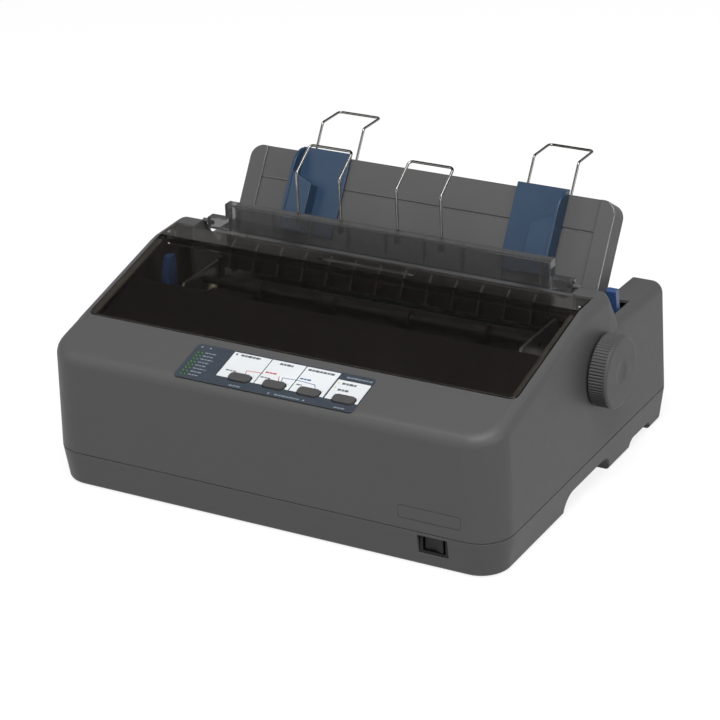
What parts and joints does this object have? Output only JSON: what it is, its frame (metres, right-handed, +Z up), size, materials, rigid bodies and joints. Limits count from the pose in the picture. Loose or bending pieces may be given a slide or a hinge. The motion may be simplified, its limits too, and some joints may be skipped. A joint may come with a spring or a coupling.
{
  "type": "dot matrix printer",
  "caption": "Narrow desktop dot matrix printer with a smoked hinged cover, a tilting paper guide with sliding edge guides, a platen knob and pin tractors.",
  "frame": {"origin": "on the surface the printer stands on, under the middle of its bounding box at rest", "axes": "+X to the right side with the platen knob, +Y to the rear, +Z up; the control panel and the switch face -Y"},
  "size_m": [0.362, 0.3, 0.198],
  "materials": {
    "case_charcoal": "fine moulded texture, satin",
    "smoked_cover": "smoked clear plastic, glossy",
    "sheet_guide_smoke": "grey translucent plastic",
    "guide_blue": "blue moulded plastic",
    "knob_grey": "moulded, ribbed rim",
    "wire_steel": "bright drawn wire",
    "inner_black": "black moulded plastic",
    "platen_rubber": "ground black rubber",
    "shaft_steel": "ground steel",
    "frame_steel": "zinc plated sheet",
    "gear_nylon": "natural nylon",
    "pinion_brass": "cut brass",
    "motor_case": "plated motor can",
    "belt_black": "toothed belt",
    "head_aluminium": "dark anodised casting",
    "board_green": "coated circuit board",
    "supply_board": "brown circuit board",
    "label_slate": "printed film, satin",
    "lamp_green": "green lenses",
    "button_grey": "moulded grey",
    "switch_black": "glossy black",
    "socket_metal": "tinned shells",
    "foot_rubber": "soft rubber",
    "screw_steel": "zinc plated",
    "bush_white": "white acetal"
  },
  "bodies": {
    "root": {"lower_case": "case_charcoal", "upper_case": "case_charcoal", "rubber_feet": "foot_rubber", "case_screws": "screw_steel", "platen_bushes": "bush_white", "side_frame_left": "frame_steel", "side_frame_right": "frame_steel", "cross_members": "frame_steel", "inner_plate": "inner_black", "rib_guide": "inner_black", "carriage_rod": "shaft_steel", "timing_belt": "belt_black", "carriage_motor": "motor_case", "feed_motor": "motor_case", "tractor_rod": "shaft_steel", "control_label": "label_slate", "led_lamps": "lamp_green", "control_board": "board_green", "power_switch": "switch_black", "main_board": "board_green", "power_supply": "supply_board", "mains_inlet": "switch_black", "data_ports": "socket_metal"},
    "cover": {"printer_cover": "smoked_cover"},
    "sheet_guide": {"sheet_guide": "sheet_guide_smoke", "sheet_wire_left": "wire_steel", "sheet_wire_centre": "wire_steel"},
    "paper_guide": {"paper_guide": "case_charcoal", "tray_wire_left": "wire_steel", "tray_wire_right": "wire_steel"},
    "edge_left": {"edge_guide_left": "guide_blue"},
    "edge_right": {"edge_guide_right": "guide_blue"},
    "platen": {"platen_roller": "platen_rubber", "platen_shaft": "shaft_steel", "platen_knob": "knob_grey", "platen_gear": "gear_nylon"},
    "reduction": {"reduction_gear": "gear_nylon"},
    "pinion": {"feed_pinion": "pinion_brass"},
    "idler": {"tractor_idler": "gear_nylon"},
    "tractor_drive": {"tractor_gear": "gear_nylon", "tractor_shaft": "shaft_steel"},
    "bail": {"bail_roller": "platen_rubber"},
    "carriage": {"carriage": "inner_black", "print_head": "head_aluminium", "ribbon_cartridge": "inner_black"},
    "belt_drive": {"drive_pulley": "pinion_brass"},
    "belt_idler": {"idler_pulley": "gear_nylon"},
    "left_tractor": {"tractor_left": "inner_black"},
    "right_tractor": {"tractor_right": "inner_black"},
    "left_door": {"tractor_door_left": "inner_black"},
    "right_door": {"tractor_door_right": "inner_black"},
    "release": {"release_lever": "guide_blue"},
    "thickness": {"thickness_lever": "guide_blue"},
    "button_1": {"button_1": "button_grey"},
    "button_2": {"button_2": "button_grey"},
    "button_3": {"button_3": "button_grey"},
    "button_4": {"button_4": "button_grey"},
    "rocker": {"power_rocker": "switch_black"}
  },
  "joints": [
    {"name": "cover_hinge", "type": "hinge", "parent": "root", "child": "cover", "pos_m": [-0.007, 0.00499, 0.12939], "axis": [-1, 0, 0], "range_deg": [0, 75]},
    {"name": "sheet_guide_hinge", "type": "hinge", "parent": "root", "child": "sheet_guide", "pos_m": [-0.007, 0.02699, 0.1352], "axis": [-1, 0, 0], "range_deg": [0, 25]},
    {"name": "paper_guide_tilt", "type": "hinge", "parent": "root", "child": "paper_guide", "pos_m": [-0.007, 0.06169, 0.1054], "axis": [-1, 0, 0], "range_deg": [0, 52]},
    {"name": "edge_left_slide", "type": "slide", "parent": "paper_guide", "child": "edge_left", "axis": [1, 0, 0], "range_m": [-0.029, 0.05]},
    {"name": "edge_right_slide", "type": "slide", "parent": "paper_guide", "child": "edge_right", "axis": [1, 0, 0], "range_m": [-0.075, 0.023]},
    {"name": "platen_spin", "type": "hinge", "parent": "root", "child": "platen", "pos_m": [-0.007, 0.00949, 0.0865], "axis": [1, 0, 0], "continuous": true},
    {"name": "reduction_spin", "type": "hinge", "parent": "root", "child": "reduction", "pos_m": [-0.146, 0.03503, 0.06096], "axis": [1, 0, 0], "continuous": true},
    {"name": "pinion_spin", "type": "hinge", "parent": "root", "child": "pinion", "pos_m": [-0.146, 0.03503, 0.03484], "axis": [1, 0, 0], "continuous": true},
    {"name": "idler_spin", "type": "hinge", "parent": "root", "child": "idler", "pos_m": [-0.146, 0.06684, 0.05649], "axis": [1, 0, 0], "continuous": true},
    {"name": "tractor_spin", "type": "hinge", "parent": "root", "child": "tractor_drive", "pos_m": [-0.007, 0.08729, 0.06927], "axis": [1, 0, 0], "continuous": true},
    {"name": "bail_spin", "type": "hinge", "parent": "root", "child": "bail", "pos_m": [-0.007, -0.0042, 0.10282], "axis": [1, 0, 0], "continuous": true},
    {"name": "carriage_slide", "type": "slide", "parent": "root", "child": "carriage", "axis": [1, 0, 0], "range_m": [0, 0.204]},
    {"name": "belt_drive_spin", "type": "hinge", "parent": "root", "child": "belt_drive", "pos_m": [0.112, -0.04601, 0.049], "axis": [0, 0, 1], "continuous": true},
    {"name": "belt_idler_spin", "type": "hinge", "parent": "root", "child": "belt_idler", "pos_m": [-0.126, -0.04601, 0.049], "axis": [0, 0, 1], "continuous": true},
    {"name": "left_tractor_slide", "type": "slide", "parent": "root", "child": "left_tractor", "axis": [1, 0, 0], "range_m": [-0.012, 0.05]},
    {"name": "right_tractor_slide", "type": "slide", "parent": "root", "child": "right_tractor", "axis": [1, 0, 0], "range_m": [-0.05, 0.012]},
    {"name": "left_door_hinge", "type": "hinge", "parent": "left_tractor", "child": "left_door", "pos_m": [-0.1209, 0.08729, 0.07987], "axis": [0, -1, 0], "range_deg": [0, 100]},
    {"name": "right_door_hinge", "type": "hinge", "parent": "right_tractor", "child": "right_door", "pos_m": [0.1069, 0.08729, 0.07987], "axis": [0, 1, 0], "range_deg": [0, 100]},
    {"name": "release_lever_hinge", "type": "hinge", "parent": "root", "child": "release", "pos_m": [0.143, 0.05799, 0.052], "axis": [-1, 0, 0], "range_deg": [0, 10]},
    {"name": "thickness_lever_hinge", "type": "hinge", "parent": "root", "child": "thickness", "pos_m": [-0.158, -0.01901, 0.078], "axis": [-1, 0, 0], "range_deg": [-8, 14]},
    {"name": "button_1_press", "type": "slide", "parent": "root", "child": "button_1", "axis": [0, 0.2402, -0.9707], "range_m": [0, 0.001], "stiffness_N_per_m": 300, "springref_m": -0.0015},
    {"name": "button_2_press", "type": "slide", "parent": "root", "child": "button_2", "axis": [0, 0.2402, -0.9707], "range_m": [0, 0.001], "stiffness_N_per_m": 300, "springref_m": -0.0015},
    {"name": "button_3_press", "type": "slide", "parent": "root", "child": "button_3", "axis": [0, 0.2402, -0.9707], "range_m": [0, 0.001], "stiffness_N_per_m": 300, "springref_m": -0.0015},
    {"name": "button_4_press", "type": "slide", "parent": "root", "child": "button_4", "axis": [0, 0.2402, -0.9707], "range_m": [0, 0.001], "stiffness_N_per_m": 300, "springref_m": -0.0015},
    {"name": "rocker_tilt", "type": "hinge", "parent": "root", "child": "rocker", "pos_m": [0.119, -0.14101, 0.0175], "axis": [0, 0, 1], "range_deg": [0, 14]}
  ],
  "couplings": [
    {"joint": "reduction_spin", "follows": "platen_spin", "ratio": -0.8},
    {"joint": "pinion_spin", "follows": "platen_spin", "ratio": 2.6667},
    {"joint": "idler_spin", "follows": "platen_spin", "ratio": 1.3333},
    {"joint": "tractor_spin", "follows": "platen_spin", "ratio": -1.3333},
    {"joint": "bail_spin", "follows": "platen_spin", "ratio": -2.5},
    {"joint": "belt_drive_spin", "follows": "carriage_slide", "rad_per_m": -135.14},
    {"joint": "belt_idler_spin", "follows": "carriage_slide", "rad_per_m": -135.14}
  ]
}
